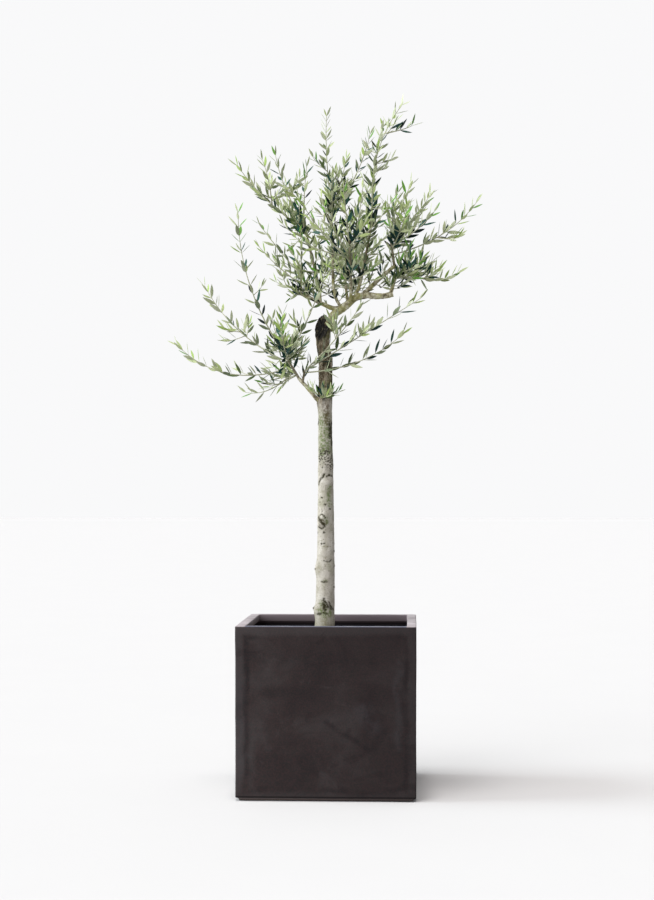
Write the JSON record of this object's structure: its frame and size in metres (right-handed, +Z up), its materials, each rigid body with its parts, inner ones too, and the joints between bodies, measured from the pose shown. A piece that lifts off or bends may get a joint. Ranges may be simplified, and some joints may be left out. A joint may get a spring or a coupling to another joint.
{
  "type": "potted olive tree",
  "caption": "Young olive tree with a bare upright trunk and an open crown of slim leaves, in a square dark planter.",
  "frame": {"origin": "centre of the planter's flat underside, on the surface it stands on", "axes": "+Z up along the trunk, -Y towards the front of the crown as pictured, +X to the right"},
  "size_m": [0.7252, 0.539, 1.5994],
  "materials": {
    "planter": "matt cast",
    "soil": "rough crumbs",
    "bark": "rough bark",
    "foliage": "silky leaf"
  },
  "bodies": {
    "root": {"planter": "planter", "soil": "soil", "trunk": "bark", "bough_fork": "bark", "bough_right_low": "bark", "bough_right_spur": "bark", "bough_right_up": "bark", "bough_left": "bark", "bough_centre": "bark", "bough_upper_left": "bark", "bough_right_mid": "bark", "bough_front": "bark", "bough_back": "bark", "bough_low_left": "bark", "foliage_low_left": "foliage", "foliage_low_right": "foliage", "foliage_spur": "foliage", "foliage_left": "foliage", "foliage_upper_left": "foliage", "foliage_centre": "foliage", "foliage_upper_right": "foliage", "foliage_right": "foliage", "foliage_right_low": "foliage", "foliage_front": "foliage", "foliage_back": "foliage"}
  },
  "joints": []
}
